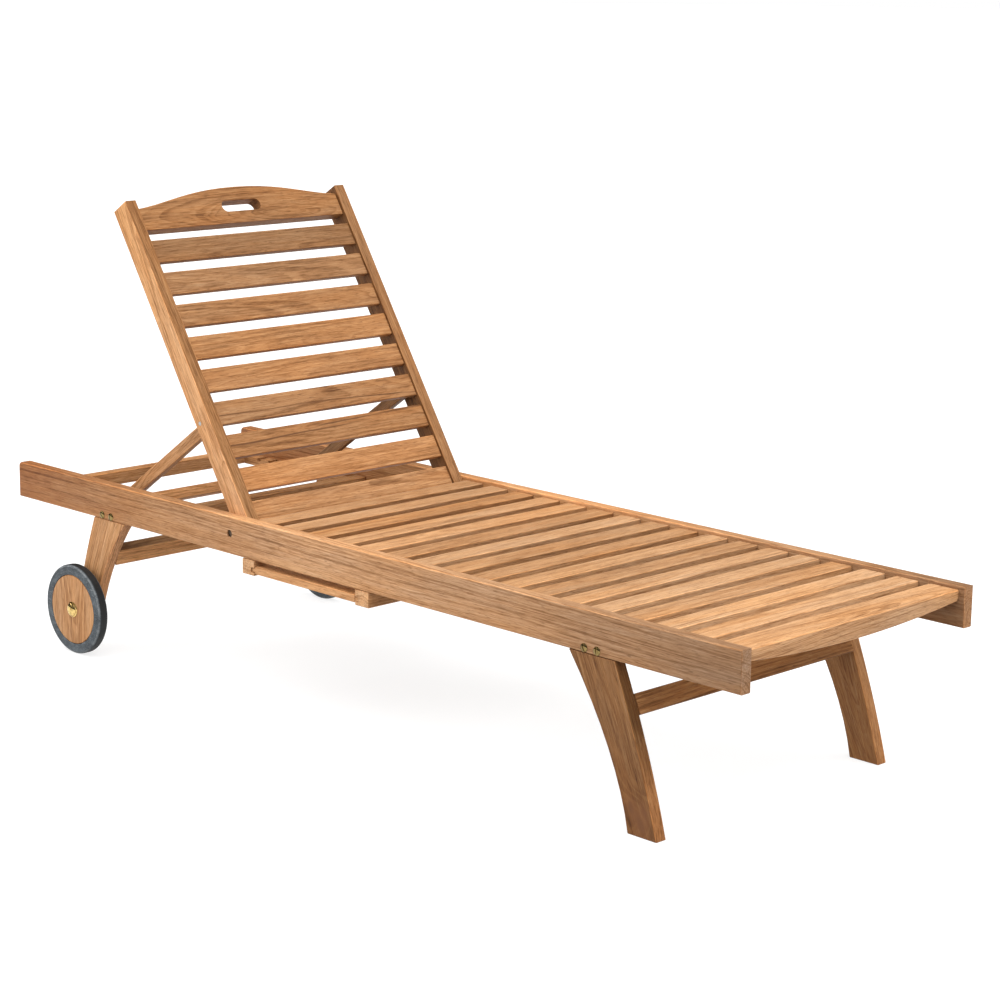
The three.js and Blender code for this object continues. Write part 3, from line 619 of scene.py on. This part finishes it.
def cut(mesh, cutter):
    """mesh less cutter."""
    whole = bpy.data.objects.new("whole", mesh)
    knife = bpy.data.objects.new("knife", cutter)
    for piece in (whole, knife):
        bpy.context.scene.collection.objects.link(piece)
    modifier = whole.modifiers.new("cut", "BOOLEAN")
    modifier.operation = "DIFFERENCE"
    modifier.object = knife
    result = bpy.data.meshes.new_from_object(whole.evaluated_get(bpy.context.evaluated_depsgraph_get()))
    for piece in (whole, knife):
        bpy.data.objects.remove(piece)
    return result


def joined(name, parts):
    """One mesh from (mesh, matrix) pairs."""
    work = bmesh.new()
    for part, matrix in parts:
        part.transform(matrix)
        work.from_mesh(part)
    bmesh.ops.recalc_face_normals(work, faces=work.faces)
    for face in work.faces:
        face.smooth = True
    mesh = bpy.data.meshes.new(name)
    work.to_mesh(mesh)
    work.free()
    mesh.set_sharp_from_angle(angle=math.radians(38))
    return mesh


OTHER_SIDE = Matrix.Scale(-1, 4, Y)
SHAFT_RADIUS = 0.006
SHOULDER_RADIUS = 0.01
AXLE_HEAD_DEPTH = 0.008
AXLE_NUT_RADIUS, AXLE_NUT_DEPTH = 0.0104, 0.007
LEG_BOLT_HEAD_DEPTH = 0.003
LEG_BOLT_HEAD_RADIUS = 0.0079
LEG_BOLT_SHANK_RADIUS = 0.003
LEG_BOLT_INSET = 0.008           # from each end of the pair's box to a bolt's middle


def axle_bolt_mesh(name, low, high, leg_inner, shoulder):
    """A domed button head outside the wheel, a shoulder inside it, and a nut behind the leg."""
    tip = low.y
    base = tip + AXLE_HEAD_DEPTH
    dome = [(0.0143 * math.cos(a), base - 0.0019 - 0.0061 * math.sin(a)) for a in
            [math.radians(90 - 6 * i) for i in range(16)]]
    dome[0] = (0, tip)
    rim = [(0.0152, base - 0.0016), (0.0160, base - 0.0013), (0.0164, base - 0.0008), (0.0165, base)]
    start, stop = shoulder
    shaft = [
        (SHAFT_RADIUS, base), (SHAFT_RADIUS, start), (0.0098, start), (SHOULDER_RADIUS, start + 0.0003),
        (SHOULDER_RADIUS, stop - 0.0003), (0.0098, stop), (SHAFT_RADIUS, stop),
        (SHAFT_RADIUS, high.y - 0.0008), (0.0052, high.y), (0, high.y),
    ]
    at = Matrix.Translation(((low.x + high.x) / 2, 0, (low.z + high.z) / 2))
    return joined(name, [
        (turned(name + "_shaft", [*dome, *rim, *shaft]), at),
        (nut(AXLE_NUT_RADIUS, leg_inner, leg_inner + AXLE_NUT_DEPTH), at),
    ])


def leg_bolts_mesh(name, low, high, turns):
    """Two domed, slotted heads on their shanks, and the plate they screw into."""
    base = low.y + LEG_BOLT_HEAD_DEPTH
    plate = block((low.x, high.y - 0.0013, low.z + 0.001), (high.x, high.y, high.z - 0.001), 0.0004)
    parts = [(plate, Matrix())]
    for x, turn in zip((low.x + LEG_BOLT_INSET, high.x - LEG_BOLT_INSET), turns):
        dome = [(0.0076 * math.sin(math.radians(a)), base - 0.0006 - 0.0024 * math.cos(math.radians(a)))
                for a in range(0, 91, 9)]
        profile = [
            *dome, (LEG_BOLT_HEAD_RADIUS, base - 0.0003), (LEG_BOLT_HEAD_RADIUS, base),
            (LEG_BOLT_SHANK_RADIUS, base), (LEG_BOLT_SHANK_RADIUS, high.y - 0.0008), (0, high.y - 0.0008),
        ]
        head = turned(name + "_head", profile, steps=64)
        slot = block((-0.009, low.y - 0.002, -0.00085), (0.009, low.y + 0.0017, 0.00085))
        slot.transform(Matrix.Rotation(math.radians(turn), 4, "Y"))
        parts.append((cut(head, slot), Matrix.Translation((x, 0, (low.z + high.z) / 2))))
    return joined(name, parts)


def paired(node_name, material, build):
    """Builds the right-hand piece about its own box, or its mirror image on the left."""
    low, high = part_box("right" + node_name)
    for side in ("right", "left"):
        mesh = build(f"{side}{node_name}_metal", low, high)
        if side == "left":
            mesh.transform(OTHER_SIDE)
            mesh.flip_normals()
        dressed(bpy.data.objects.new(mesh.name, mesh), side + node_name, material)


leg_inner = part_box("right_rear_leg")[1].y + 0.0003
collar = (disc_high.y + 0.0003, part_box("right_rear_leg")[0].y - 0.0003)
paired("_axle_bolt", BRASS,
       lambda name, low, high: axle_bolt_mesh(name, low, high, leg_inner, collar))
SLOT_TURNS = {"_front_leg_bolts": (62, 84), "_rear_leg_bolts": (48, 98)}
for node_name, turns in SLOT_TURNS.items():
    paired(node_name, DARKENED_BRASS, lambda name, low, high: leg_bolts_mesh(name, low, high, turns))
nodes["prop_pivot_rod"].data.materials[0] = STEEL
for side in ("right", "left"):
    nodes[f"{side}_backrest_pivot_bolt"].data.materials[0] = SHADED_STEEL

# ---------------------------------------------------------------- studio


FLOOR_GLOW = 0.76
FLOOR_RADIUS = 60
FLOOR_DROP = 0.0005              # the floor lies just under the feet, so the two never coincide


def floor_material():
    """White paper, lit from within for the camera and reflections, so that only soft shadows show."""
    t = Tree("pale_studio_floor")
    coords = t.add("ShaderNodeTexCoord").outputs["Object"]
    cloud = t.noise(coords, (0.8, 0.8, 0.8), detail=2.0).outputs[0]
    greys = [(0.3, (0.31, 0.31, 0.31)), (0.7, (0.33, 0.33, 0.33))]
    t.feed(t.shader.inputs["Base Color"], t.ramp(cloud, greys))
    t.feed(t.shader.inputs["Roughness"], 0.75)
    t.feed(t.shader.inputs["Specular IOR Level"], 0.15)
    t.feed(t.shader.inputs["Emission Color"], (1, 1, 1, 1))
    path = t.add("ShaderNodeLightPath")
    seen = t.math("MAXIMUM", path.outputs["Is Camera Ray"], path.outputs["Is Glossy Ray"])
    t.feed(t.shader.inputs["Emission Strength"], t.math("MULTIPLY", seen, FLOOR_GLOW))
    return t.material


def flat_floor(radius):
    work = bmesh.new()
    bmesh.ops.create_circle(work, cap_ends=True, segments=96, radius=radius)
    mesh = bpy.data.meshes.new("studio_floor")
    work.to_mesh(mesh)
    work.free()
    floor = bpy.data.objects.new("studio_floor", mesh)
    bpy.context.scene.collection.objects.link(floor)
    mesh.materials.append(floor_material())
    floor.location.z = -FLOOR_DROP


class Sky(Tree):
    """Studio light from all round, so that the floor is lit alike everywhere: glows in a pale room."""

    def __init__(self, name):
        world = bpy.data.worlds.new(name)
        world.use_nodes = True
        self.nodes = world.node_tree.nodes
        self.links = world.node_tree.links
        self.background = self.nodes["Background"]
        self.direction = self.add("ShaderNodeTexCoord").outputs["Generated"]
        self.total = None
        bpy.context.scene.world = world

    def even(self, strength):
        self.total = strength

    def glow(self, towards, strength, tightness):
        """A soft light centred on that direction; a higher tightness makes it smaller."""
        towards = Vector(towards).normalized()
        facing = self.add("ShaderNodeVectorMath", {0: self.direction, 1: towards}, operation="DOT_PRODUCT")
        part = self.math("POWER", self.math("MAXIMUM", facing.outputs["Value"], 0.0), tightness)
        self.total = self.math("MULTIPLY_ADD", part, strength, self.total)

    def shine(self, gloss, spark):
        """White to the camera; gloss dims the room in reflections, as black cloths round a studio do.

        spark is one small lamp that shows only in reflections: its direction, strength and tightness.
        """
        path = self.add("ShaderNodeLightPath")
        dimmed = self.math("MULTIPLY_ADD", path.outputs["Is Glossy Ray"], gloss - 1, 1.0)
        room = self.math("MULTIPLY", self.total, dimmed)
        self.total = 0.0
        self.glow(*spark)
        room = self.math("MULTIPLY_ADD", path.outputs["Is Glossy Ray"], self.total, room)
        seen = self.math("MAXIMUM", room, path.outputs["Is Camera Ray"])
        self.feed(self.background.inputs["Strength"], seen)
        self.background.inputs["Color"].default_value = (1, 1, 1, 1)


ROOM = 0.18
GLOWS = (                        # direction, strength, tightness
    ((0.35, -0.1, 1), 4.6, 4),
    ((-0.8, 0.1, 0.5), 0.3, 8),
    ((0.3, 0.85, 0.45), 0.5, 8),
    ((-0.45, -0.8, 0.3), 1.9, 8),
    ((-0.5, -0.75, 0.45), 7.0, 60),
    ((0.95, -0.1, 0.3), 0.5, 4),
)
GLOSS = 0.15
SPARK = ((-0.69, -0.44, 0.58), 30.0, 500)

flat_floor(FLOOR_RADIUS)
sky = Sky("studio_air")
sky.even(ROOM)
for glow in GLOWS:
    sky.glow(*glow)
sky.shine(GLOSS, SPARK)

scene = bpy.context.scene
scene.view_settings.view_transform = "Standard"
scene.view_settings.look = "None"

# ---------------------------------------------------------------- camera

AZIMUTH, PITCH, ROLL = (math.radians(angle) for angle in (45.143, 12.345, 0.713))
level_right = Vector((math.cos(AZIMUTH), math.sin(AZIMUTH), 0))
back = Vector((math.sin(AZIMUTH) * math.cos(PITCH), -math.cos(AZIMUTH) * math.cos(PITCH), math.sin(PITCH)))
level_up = back.cross(level_right)
right = level_right * math.cos(ROLL) + level_up * math.sin(ROLL)
up = level_up * math.cos(ROLL) - level_right * math.sin(ROLL)

CAMERA_AT = (3.48096, -3.32803, 1.45654)
lens = bpy.data.cameras.new("camera")
lens.sensor_width = 36
lens.lens = 91.6
lens.clip_end = 200
camera = bpy.data.objects.new("camera", lens)
facing = Matrix((right, up, back)).transposed().to_4x4()
camera.matrix_world = Matrix.Translation(CAMERA_AT) @ facing
scene.collection.objects.link(camera)
scene.camera = camera
